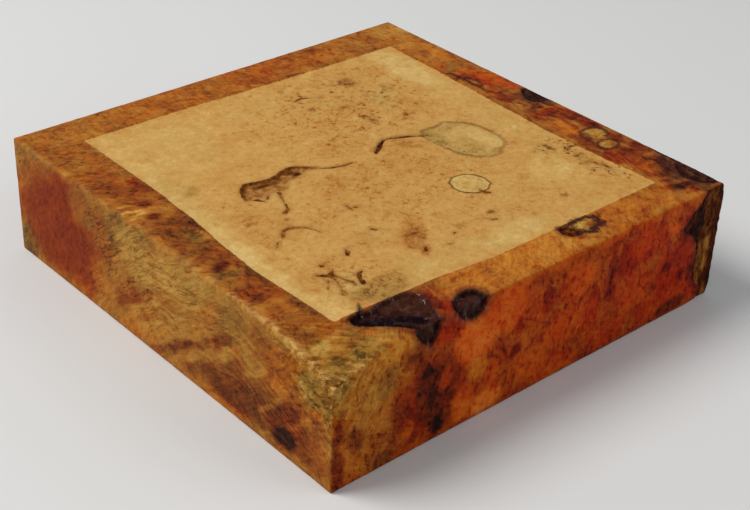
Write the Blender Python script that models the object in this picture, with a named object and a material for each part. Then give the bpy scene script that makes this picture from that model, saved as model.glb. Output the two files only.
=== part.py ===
# Maple burl blank for turning: one sawn square block of figured wood.
# Its outside is sealed, apart from a square on the top that was scraped bare
# to show the figure. Bark pockets, a crack and open knots are sunk in it.
# Metres, +Z up, the origin at the middle of the face that it stands on.

import math

import bpy
import bmesh
from mathutils import Vector

MM = 0.001

# Driving dimensions
SIDE = 203 * MM
HEIGHT = 52 * MM
ARRIS = 1.4 * MM
ARRIS_STEPS = 2
GRID_CELLS = 24
GRID_LAYERS = 6

# Saw drift: how far the middle of a side lies inside the line between its corners
BOW_WEST = 0.3 * MM
BOW_EAST = 1.5 * MM
BOW_NORTH = 1.6 * MM
BOW_SOUTH = 0.8 * MM

# The corner at -X -Y is torn away from the top, and falls off towards its tip
DROOP = 7.2 * MM
DROOP_REACH = 30 * MM
DROOP_POWER = 1.5

# The long top edges at -X and -Y are a little worn down beside it
WEAR = 1.2 * MM
WEAR_REACH = 7 * MM
WEAR_LENGTH = 75 * MM

# The corner at +X -Y is waney: bark has crumbled from its top and its foot
WANE_IN = 4.0 * MM
WANE_DOWN = 7 * MM
FOOT_IN = 2.5 * MM
FOOT_UP = 5 * MM

PANEL_DEPTH = 0.4 * MM
CLEAR = 6 * MM
DRAFT = 0.72

# Outlines on the top are (x, y) in millimetres, and on the -Y side (x, z)
PANEL = [
    (-80, 82.5), (-30, 82), (20, 80), (83, 79), (81.5, 40), (79.5, 5), (78, -25),
    (78.5, -60), (79.5, -83.5), (20, -84), (-12, -84), (-38, -81.5), (-84, -80),
    (-85.5, -40), (-84.5, -20), (-82, 2), (-80.5, 26),
]
POCKETS = {
    "long_bark_pocket": (1.8, [
        (-58.5, 3), (-57, 8), (-53.5, 12.5), (-49, 15), (-44, 13.5), (-38, 13), (-33, 14.2),
        (-28, 15.7), (-24, 13.5), (-20, 9.5), (-17.5, 6), (-22, 7.3), (-28, 6.5), (-34, 6.6),
        (-38, 3.5), (-41, 0.8), (-45, 2.4), (-50, 0.8), (-55, 2.6),
    ]),
    "short_crack": (1.4, [
        (8, 3.3), (10.5, 6.8), (15, 9.4), (19.5, 10.6), (24, 10), (29, 7.8), (33.5, 3.8),
        (29, 6), (24, 8), (19.5, 9), (15, 7.6), (11.5, 5),
    ]),
    "worm_pocket": (1.2, [
        (-69, -52.5), (-66.5, -53.5), (-64.5, -57), (-62.5, -61), (-64, -62.5), (-66.5, -59.5),
        (-67.8, -56),
    ]),
    "small_worm_pocket": (1.0, [
        (-61, -68), (-59.5, -65), (-57, -61.6), (-55.8, -62.6), (-58, -66), (-59.8, -68.6),
    ]),
    "west_knot": (2.4, [
        (-80.5, -83), (-78.5, -80.5), (-73, -80), (-66, -80.8), (-59, -79.8), (-53.5, -81.2),
        (-50.2, -84.5), (-50, -89), (-51.5, -94), (-54, -99), (-54.5, -106), (-66.5, -106),
        (-66, -101), (-68.5, -96.5), (-72.5, -92.5), (-77, -88.5),
    ]),
    "edge_knot": (1.8, [
        (-46.5, -106), (-47.5, -100), (-44.5, -96), (-40, -93.5), (-35, -93), (-31.5, -96),
        (-30.5, -101), (-31.5, -106),
    ]),
    "south_knot": (1.0, [
        (20, -85.5), (24, -84.6), (27, -86.5), (31, -84.6), (36, -86), (40.5, -85), (41.5, -90),
        (38, -94.5), (32, -96), (25.5, -93), (21.5, -89.5),
    ]),
    "east_knot": (1.6, [
        (89, -9), (91.5, -1), (95, 7), (99, 10.5), (107, 11), (107, -8), (100, -10.5), (94, -11.5),
    ]),
    "corner_groove": (1.8, [
        (84, -90), (88, -88.3), (94, -87), (99, -84.5), (107, -83), (107, -89.5), (99, -91.5),
        (91, -93), (86, -93.2),
    ]),
}
SIDE_POCKETS = {
    "side_drip": (1.4, [
        (-67, 58), (-66.5, 50), (-64.5, 46), (-60, 42.5), (-56, 42), (-54, 46), (-53.5, 51),
        (-53.5, 58),
    ]),
    "side_edge_knot": (1.4, [
        (-47, 58), (-46.5, 50), (-42.5, 45.8), (-37, 43.8), (-33, 46.5), (-31, 51), (-31, 58),
    ]),
    "bark_inclusion": (2.4, [
        (78.5, 38.5), (82, 43), (87, 47.5), (91, 52.5), (93, 60), (108, 60), (108, -6), (98, -6),
        (95, 3), (98, 7), (94, 9.5), (89.5, 12), (88.2, 19), (89, 27), (87.5, 32.5), (82.5, 34.5),
    ]),
}

# Colours are sRGB shares, as read by eye from the wood
SEALED_COLOUR = (0.60, 0.33, 0.13)
BARE_COLOUR = (0.74, 0.56, 0.32)
SEALED_ROUGHNESS = 0.42
BARE_ROUGHNESS = 0.7


def clear_scene():
    for thing in list(bpy.data.objects):
        bpy.data.objects.remove(thing, do_unlink=True)


def linear(colour):
    return tuple(((c + 0.055) / 1.055) ** 2.4 if c > 0.04045 else c / 12.92 for c in colour)


def wood_material(name, colour, roughness):
    material = bpy.data.materials.new(name)
    material.use_nodes = True
    shader = material.node_tree.nodes["Principled BSDF"]
    shader.inputs["Base Color"].default_value = (*linear(colour), 1)
    shader.inputs["Roughness"].default_value = roughness
    shader.inputs["Metallic"].default_value = 0
    material.diffuse_color = (*linear(colour), 1)
    return material


def fade(distance, reach):
    """1 at distance 0, falling smoothly to 0 at reach."""
    share = max(0.0, 1 - abs(distance) / reach)
    return share * share * (3 - 2 * share)


def bow(along, depth):
    """Inward drift of a sawn side at a place along it, 0 at both corners."""
    return depth * (1 - (2 * along / SIDE) ** 2)


def drop_of_top(x, y):
    """How far the top lies under its plane at x, y."""
    half = SIDE / 2
    from_corner = math.hypot(x + half, y + half)
    torn = DROOP * max(0.0, 1 - from_corner / DROOP_REACH) ** DROOP_POWER
    beside = fade(y + half, WEAR_LENGTH) * fade(x + half, WEAR_REACH)
    beside = max(beside, fade(x + half, WEAR_LENGTH) * fade(y + half, WEAR_REACH))
    return torn + WEAR * beside


def wane_in(z, from_corner):
    """How far the crumbled corner at +X -Y steps in at height z."""
    near = fade(from_corner, 16 * MM)
    top = fade(HEIGHT - z, WANE_DOWN)
    foot = fade(z, FOOT_UP)
    return near * (WANE_IN * top + FOOT_IN * foot)


def warped(place):
    """Where a point of the true box goes on the real block."""
    half = SIDE / 2
    x, y, z = place
    share_x, share_y = x / half, y / half
    inward_x = bow(y, BOW_EAST if x > 0 else BOW_WEST)
    inward_y = bow(x, BOW_NORTH if y > 0 else BOW_SOUTH)
    corner = wane_in(z, math.hypot(x - half, y + half))
    moved = Vector((
        x - share_x * inward_x - corner,
        y - share_y * inward_y + corner * 0.5,
        z,
    ))
    moved.z -= drop_of_top(x, y) * (z / HEIGHT) ** 2
    return moved


def grid_lines(length, count, start):
    return [start + length * n / count for n in range(1, count)]


def block():
    """The sawn block: a box with worn edges, cut into cells and warped by formula."""
    mesh = bmesh.new()
    bmesh.ops.create_cube(mesh, size=1)
    bmesh.ops.scale(mesh, vec=(SIDE, SIDE, HEIGHT), verts=mesh.verts)
    bmesh.ops.translate(mesh, vec=(0, 0, HEIGHT / 2), verts=mesh.verts)
    bmesh.ops.bevel(mesh, geom=mesh.edges[:], offset=ARRIS, offset_type="OFFSET",
                    segments=ARRIS_STEPS, profile=0.5, affect="EDGES", material=-1)
    cuts = [((x, 0, 0), (1, 0, 0)) for x in grid_lines(SIDE, GRID_CELLS, -SIDE / 2)]
    cuts += [((0, y, 0), (0, 1, 0)) for y in grid_lines(SIDE, GRID_CELLS, -SIDE / 2)]
    cuts += [((0, 0, z), (0, 0, 1)) for z in grid_lines(HEIGHT, GRID_LAYERS, 0)]
    for point, normal in cuts:
        whole = mesh.verts[:] + mesh.edges[:] + mesh.faces[:]
        bmesh.ops.bisect_plane(mesh, geom=whole, dist=1e-6, plane_co=point, plane_no=normal)
    for vert in mesh.verts:
        vert.co = warped(vert.co)
    foot = [f for f in mesh.faces if all(abs(v.co.z) < 1e-7 for v in f.verts)]
    bmesh.ops.dissolve_faces(mesh, faces=foot)
    bmesh.ops.triangulate(mesh, faces=mesh.faces[:])
    data = bpy.data.meshes.new("burl_block")
    mesh.to_mesh(data)
    mesh.free()
    made = bpy.data.objects.new("burl_block", data)
    bpy.context.collection.objects.link(made)
    return made


def cutter(name, outline, place, depth, draft):
    """A prism that sinks depth below a face, narrower at its floor.
    place(u, v, w) gives the point that lies w above the face at u, v."""
    middle_u = sum(u for u, v in outline) / len(outline)
    middle_v = sum(v for u, v in outline) / len(outline)
    mesh = bmesh.new()
    rims = []
    for above, grow in ((CLEAR, 1 + (1 - draft) * CLEAR / depth * 0.1), (-depth, draft)):
        rims.append([
            mesh.verts.new(place(
                (middle_u + (u - middle_u) * grow) * MM,
                (middle_v + (v - middle_v) * grow) * MM,
                above,
            ))
            for u, v in outline
        ])
    for rim in rims:
        mesh.faces.new(rim)
    count = len(outline)
    for n in range(count):
        after = (n + 1) % count
        mesh.faces.new((rims[0][n], rims[0][after], rims[1][after], rims[1][n]))
    bmesh.ops.triangulate(mesh, faces=mesh.faces[:])
    bmesh.ops.recalc_face_normals(mesh, faces=mesh.faces[:])
    data = bpy.data.meshes.new(name)
    mesh.to_mesh(data)
    mesh.free()
    made = bpy.data.objects.new(name, data)
    bpy.context.collection.objects.link(made)
    made.hide_render = True
    made.display_type = "WIRE"
    return made


def on_top(u, v, w):
    return Vector((u, v, HEIGHT + w))


def on_south(u, v, w):
    return Vector((u, -SIDE / 2 - w, v))


def sink(body, tool):
    cut = body.modifiers.new(tool.name, "BOOLEAN")
    cut.operation = "DIFFERENCE"
    cut.solver = "EXACT"
    cut.object = tool


def build():
    clear_scene()
    burl = block()
    burl.data.materials.append(wood_material("sealed_burl", SEALED_COLOUR, SEALED_ROUGHNESS))
    sink(burl, cutter("bare_square", PANEL, on_top, PANEL_DEPTH, 0.999))
    for name, (depth, outline) in POCKETS.items():
        sink(burl, cutter(name, outline, on_top, depth * MM, DRAFT))
    for name, (depth, outline) in SIDE_POCKETS.items():
        sink(burl, cutter(name, outline, on_south, depth * MM, DRAFT))


build()
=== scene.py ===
# Maple burl blank for turning: one sawn square of figured wood with bark pockets,
# sealed all round apart from a square on its top that was scraped bare.

import math

import bmesh
import bpy
import numpy as np
from mathutils import Matrix, Vector, noise


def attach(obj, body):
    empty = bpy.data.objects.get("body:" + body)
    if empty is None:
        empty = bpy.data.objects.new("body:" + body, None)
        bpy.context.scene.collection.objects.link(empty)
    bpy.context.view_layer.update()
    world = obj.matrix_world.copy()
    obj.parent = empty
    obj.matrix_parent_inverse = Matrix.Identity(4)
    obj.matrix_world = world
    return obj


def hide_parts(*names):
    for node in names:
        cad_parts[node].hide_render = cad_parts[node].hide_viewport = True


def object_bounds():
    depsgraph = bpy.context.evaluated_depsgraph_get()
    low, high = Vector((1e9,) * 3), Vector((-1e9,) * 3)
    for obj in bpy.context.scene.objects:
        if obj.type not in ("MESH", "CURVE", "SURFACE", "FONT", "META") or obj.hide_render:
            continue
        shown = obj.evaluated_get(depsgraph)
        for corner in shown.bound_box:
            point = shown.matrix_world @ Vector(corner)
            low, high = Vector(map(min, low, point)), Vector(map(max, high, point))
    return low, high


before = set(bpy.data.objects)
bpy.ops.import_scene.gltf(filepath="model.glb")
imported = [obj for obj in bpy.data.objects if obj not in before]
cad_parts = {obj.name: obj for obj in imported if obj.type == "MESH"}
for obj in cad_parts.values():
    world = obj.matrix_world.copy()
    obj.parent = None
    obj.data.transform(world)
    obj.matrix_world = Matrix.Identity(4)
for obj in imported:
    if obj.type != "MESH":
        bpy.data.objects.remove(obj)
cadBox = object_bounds()
print("frame loaded")

mm = 0.001
noise.seed_set(11)      # without it the vector noise is another one on each run

# Lengths below are in millimetres. Tones, hues, strengths and shares are in percent.

# The sawn block
blank = {
    "side": 203,
    "height": 52,
    "arris": 0.8,
    "arrisSteps": 2,
    "cell": 1.45,            # mesh spacing on the flat sides
    "footCell": 10,          # mesh spacing underneath
    "fineCell": 0.9,         # longer edges than this are cut where something is carved
    "bow": {"west": 0.3, "east": 0.0, "north": 0.4, "south": 0.3},
    "droop": 7.2,            # how far the torn corner at -X -Y hangs
    "droopReach": 30,
    "droopPower": 1.5,
    "wear": 1.2,             # the long edges beside it are worn down
    "wearReach": 7,
    "wearLength": 75,
    "waneIn": 0.6,           # the corner at +X -Y has crumbled
    "waneDown": 5,
    "footIn": 0.6,
    "footUp": 5,
    "waneReach": 16,
    "fold": 1.1,             # depth of the torn folds on the drooping corner
    "foldReach": 44,
    "chip": 0.45,            # depth of the nicks along the arrises
    "chipReach": 2.6,
    "crumble": 0.4,          # roughness of the waney corner
    "crumbleReach": 20,
}

# The scraped square: its outline on the top, and how far it was taken down
bareSquare = {
    "depth": 0.4,
    "outline": [
        (-80, 82.5), (-30, 82), (20, 80), (83, 79), (81.5, 40), (79.5, 5), (78, -25),
        (78.5, -60), (79.5, -83.5), (20, -84), (-12, -84), (-38, -81.5), (-84, -80),
        (-85.5, -40), (-84.5, -20), (-82, 2), (-80.5, 26),
    ],
}

# Bark pockets and open knots. Outlines are (x, y) on the top and (x, z) on the south side.
# Wall is how wide the slope at the edge is, rough how uneven the floor is. Tone runs from 0,
# nearly black, to 100, tan. The rim, dark bark and painted shade, says how much darker the edge
# is and how wide, the shadow which way its middle is moved to put the painted shade on the side
# away from the light, the slope how the tone changes with each millimetre.
pockets = {
    "longBark": {
        "face": "top", "depth": 1.5, "wall": 1.8, "rough": 0.5, "tone": 86, "rim": (26, 1.6),
        "shadow": (-0.7, 1), "slope": (0.2, -2),
        "outline": [
            (-58.5, 3), (-57.6, 6.5), (-56, 10), (-53.5, 13), (-51, 14.6), (-48, 14.2), (-44, 13),
            (-40, 12.4), (-36, 13), (-33, 14.4), (-29.5, 15.4), (-26, 14.4), (-23, 12), (-20, 9.4),
            (-18, 6.4), (-20, 7), (-24, 8.6), (-28, 6.4), (-31, 6), (-34, 6.6), (-37, 4),
            (-39, 1.4), (-42, 1), (-45, 2.4), (-50, 1), (-55, 2.4),
        ]},
    "barkInclusion": {
        "face": "south", "depth": 2.2, "wall": 2.4, "rough": 0.9, "tone": 38, "rim": (30, 2.6),
        "shadow": (-1.2, 0.8), "slope": (0, -0.3),
        "outline": [
            (77.5, 39), (80, 42), (83, 45), (87, 47.5), (88.5, 50), (91, 52.5), (93, 60),
            (108, 60), (108, -6), (96, -6), (94, 2), (95, 6), (92, 8.5), (88.5, 12), (87.6, 17),
            (88.6, 23), (87.6, 29), (84.5, 33.5), (80.5, 35.5),
        ]},
    "westKnot": {
        "face": "top", "depth": 2.4, "wall": 1.8, "rough": 0.7, "tone": 43, "rim": (34, 2.6),
        "shadow": (-1.2, -1), "slope": (1.2, 0),
        "outline": [
            (-80, -86), (-79.4, -82.2), (-77, -80.8), (-75.4, -81.4), (-73.4, -80.2),
            (-71.8, -78.4), (-70, -76.6), (-71, -79.6), (-72, -81.8), (-69.6, -82.6),
            (-66.5, -81.6), (-60, -80.4), (-53.5, -81.4), (-50.2, -84.5), (-49.6, -89),
            (-51.5, -95), (-53, -99), (-53.5, -106), (-65, -106), (-64.6, -100.4), (-68, -96.5),
            (-72.5, -93), (-77, -89.4),
        ]},
    "edgeKnot": {
        "face": "top", "depth": 1.8, "wall": 1.4, "rough": 0.6, "tone": 50, "rim": (30, 2.8),
        "outline": [
            (-46.5, -106), (-47, -100), (-44.5, -96.4), (-40, -94), (-35, -93.4), (-31.5, -96),
            (-30.5, -101), (-31.5, -106),
        ]},
    "eastKnot": {
        "face": "top", "depth": 1.2, "wall": 2.6, "rough": 1.1, "tone": 24, "rim": (10, 1.5),
        "slope": (0.8, -1.2),
        "outline": [
            (93, -3.6), (92.4, 0), (93.8, 3.6), (96, 7), (99, 9.4), (107, 10), (107, -4),
            (100, -6), (96, -5),
        ]},
    "cornerGroove": {
        "face": "top", "depth": 1.4, "wall": 2.4, "rough": 1.3, "tone": 33, "rim": (20, 1.6),
        "slope": (0.4, 0),
        "outline": [
            (100.4, -64), (98.6, -70), (96.6, -74), (97, -79), (93, -83), (91.4, -87.6),
            (92.6, -92), (94.4, -95.4), (98, -98.4), (107, -99), (107, -62),
        ]},
    "southKnotEye": {
        "face": "top", "depth": 0.9, "wall": 1, "rough": 0.3, "tone": 30, "rim": (10, 1),
        "outline": [
            (20.4, -86), (22.6, -85), (25, -86.4), (26.6, -90), (25, -93.4), (21.6, -92.4),
            (19.6, -89),
        ]},
    "sideDrip": {
        "face": "south", "depth": 1.4, "wall": 1.2, "rough": 0.5, "tone": 45, "rim": (25, 1.8),
        "outline": [
            (-66, 58), (-65.4, 50), (-63, 46), (-60, 43.5), (-57, 42.6), (-55, 46), (-53.5, 50),
            (-52.5, 58),
        ]},
    "sideEdgeKnot": {
        "face": "south", "depth": 1.4, "wall": 1.2, "rough": 0.5, "tone": 44, "rim": (30, 2),
        "outline": [
            (-47, 58), (-46, 50), (-42.5, 46), (-37, 44.4), (-33, 47), (-31, 51), (-31, 58),
        ]},
}

waxed = {       # how much of the bark in each is covered by wax
    "westKnot": 100, "edgeKnot": 100, "sideDrip": 100, "sideEdgeKnot": 100, "eastKnot": 75,
    "cornerGroove": 75, "longBark": 25,
}

# Thin cracks and worm tracks on the top: depth, tone and (x, y, half width) along each
tracks = {
    "crackWest": (0.52, 46, [
        (-18.4, 6.6, 0.4), (-16, 5.2, 0.3), (-14.6, 4.4, 0.65), (-12.6, 3.7, 0.25),
        (-11, 3.5, 0.6), (-8.4, 2.8, 0.5), (-5, 2.7, 0.2),
    ]),
    "crackEast": (1.05, 28, [
        (7.6, 3, 0.4), (9, 4.2, 0.9), (12, 6, 1.1), (15, 8.4, 0.9), (18, 10, 0.5),
        (20.5, 9.8, 0.35), (23.6, 8.6, 0.9), (26.5, 7.4, 0.95), (29.5, 5.6, 0.6), (33, 3.4, 0.4),
        (36, 1.2, 0.2),
    ]),
    "branch": (0.52, 58, [
        (-43, 2.4, 0.9), (-44.2, -0.6, 0.8), (-46, -4.6, 0.4), (-47.8, -9, 0.45),
        (-48.6, -11, 0.8), (-51.6, -12.6, 0.9),
    ]),
    "flakeWest": (0.45, 52, [(-56.6, 4.4, 0.7), (-54, 1.8, 0.9), (-52.4, -0.8, 0.4)]),
    "flakeEast": (0.45, 46, [(-50.4, 5, 0.5), (-48.6, 2, 0.8), (-50.2, -0.2, 0.4)]),
    "arc": (0.45, 64, [
        (-62.8, -25.8, 0.8), (-60.4, -23, 0.6), (-57.4, -22.3, 0.9), (-54.6, -24, 0.6),
        (-52, -26, 0.5), (-50.4, -29, 0.4), (-50, -32, 0.2),
    ]),
    "arcTail": (0.3, 66, [(-69.2, -30.6, 0.5), (-67, -28, 0.4)]),
    "wormDot": (0.45, 56, [(-64.8, -50.2, 0.8), (-64, -50.6, 0.5)]),
    "wormHead": (0.68, 41, [
        (-69.4, -54.4, 0.8), (-67.6, -56, 0.7), (-66, -57.2, 1.2), (-64, -55.4, 0.7),
    ]),
    "wormWest": (0.52, 66, [
        (-66, -58, 0.7), (-66.8, -62, 0.4), (-68.2, -66, 0.4), (-69.6, -69, 1.3),
    ]),
    "wormEast": (0.52, 61, [
        (-65, -58, 0.7), (-63.8, -61.6, 0.4), (-62.6, -64.8, 0.7), (-62.8, -67.6, 0.2),
    ]),
    "wormSide": (0.3, 70, [(-69, -59.4, 0.4), (-72.4, -63.4, 0.3)]),
    "wormBar": (0.68, 38, [
        (-55.4, -61.4, 0.5), (-57.4, -62.2, 0.9), (-58.6, -64.4, 0.9), (-60, -67.8, 1),
    ]),
    "wormFar": (0.6, 46, [(-50.4, -46.8, 0.5), (-50.8, -48.4, 0.9), (-52.2, -50, 0.8)]),
    "speckWest": (0.38, 46, [(-33.4, -41.4, 0.5), (-32.6, -42.8, 0.7)]),
    "speckLow": (0.38, 46, [(-10.4, -62.4, 0.5), (-11.4, -63, 0.4)]),
    "speckMid": (0.38, 56, [(-29.6, -22.4, 0.5), (-29.6, -26.4, 0.4)]),
    "orangeCrack": (0.38, 46, [(-26, -63.4, 0.5), (-28, -65.4, 0.5)]),
    "ringTail": (0.38, 56, [(20, -45, 0.7), (20.4, -47.6, 1.1), (21.6, -48.8, 0.5)]),
    "fleckNorth": (0.3, 61, [(11, 60, 0.4), (15, 61, 0.7), (18, 59.6, 0.3)]),
    "fleckRight": (0.3, 58, [(67.6, -34, 0.5), (68.2, -38.6, 0.7)]),
    "fleckRightLow": (0.3, 58, [(72.4, -42.6, 0.5), (75.6, -41, 0.8), (78, -42, 0.4)]),
    "fleckRightEnd": (0.3, 61, [(71.6, -48.6, 0.7), (73.4, -48, 0.4)]),
    "fleckCornerWest": (0.3, 66, [(73, -56, 0.5), (74.4, -59.6, 0.6), (74.8, -63.6, 0.9)]),
    "fleckSouth": (0.3, 66, [(7.4, -64.2, 0.7), (9, -65, 0.5)]),
}

# Knots that show as a line round other wood: half the line's width and how clear it is,
# whether they lie in the bare wood, where the line is faint (x, y, reach), and the colour
# of the heart, as in the tables of patches below
rings = {
    "largeRing": {
        "line": 1.5, "strength": 55, "bare": True, "faint": (31, -6, 13),
        "heart": {"base": (40, -60), "patches": [
            (53, -13, 5, 11, 16, -25, 85), (45, -3, 6, 4, 26, -35, 80),
            (36, -2, 5, 7, 62, -85, 80), (42, -19, 4, 6, 52, -70, 70),
            (48, 2, 7, 2.4, 56, -80, 70), (49, -25, 5, 2, 56, -50, 70),
            (46, -11, 2, 4, 52, -70, 60, 20),
        ]},
        "outline": [
            (33, 3.5), (32.5, -5), (34.5, -18), (38, -24), (43, -27.5), (48, -28), (52, -25),
            (57, -22), (59, -16), (58.5, -5), (55, 2), (49, 7), (43, 5.5), (37, 6.5),
        ]},
    "smallRing": {
        "line": 0.75, "strength": 100, "bare": True,
        "heart": {"base": (24, -40), "patches": [(20, -40, 3, 4, 36, -50, 60)]},
        "outline": [
            (14, -33.5), (18, -31), (23, -31.5), (26.5, -34.5), (28, -39), (27, -43.5),
            (22.5, -46.5), (17, -46), (13.3, -42.5), (12.4, -38),
        ]},
    "farLobe": {
        "line": 1.1, "strength": 80,
        "heart": {"base": (34, -80), "patches": [(88, -39, 2, 3, 70, -60, 80)]},
        "outline": [
            (85.5, -38.5), (87.5, -35.5), (92, -34.6), (96.4, -36.5), (98, -40), (96, -43.6),
            (91.5, -44.4), (87.4, -43),
        ]},
    "nearLobe": {
        "line": 1.1, "strength": 80,
        "heart": {"base": (38, -70), "patches": [(91, -51, 1.6, 2, 62, -50, 70)]},
        "outline": [
            (84.6, -49), (86.6, -46.4), (90.4, -45.8), (93.4, -48), (93.6, -51.6), (90.6, -53.8),
            (86.8, -53.2), (84.8, -51.4),
        ]},
    "paleKnot": {
        "line": 1.3, "strength": 80,
        "heart": {"base": (40, -50), "patches": []},
        "outline": [
            (85, 31), (87, 32), (88.4, 28), (88, 23.5), (86.4, 22), (84.8, 26),
        ]},
    "southKnot": {
        "line": 2.6, "strength": 100,
        "heart": {"base": (16, -90), "patches": [(36, -90, 4, 2, 70, -20, 70)]},
        "outline": [
            (22, -84.6), (27, -85.6), (31, -84), (37, -85.6), (39.5, -88), (37, -92), (31, -93.6),
            (25, -91),
        ]},
}

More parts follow.
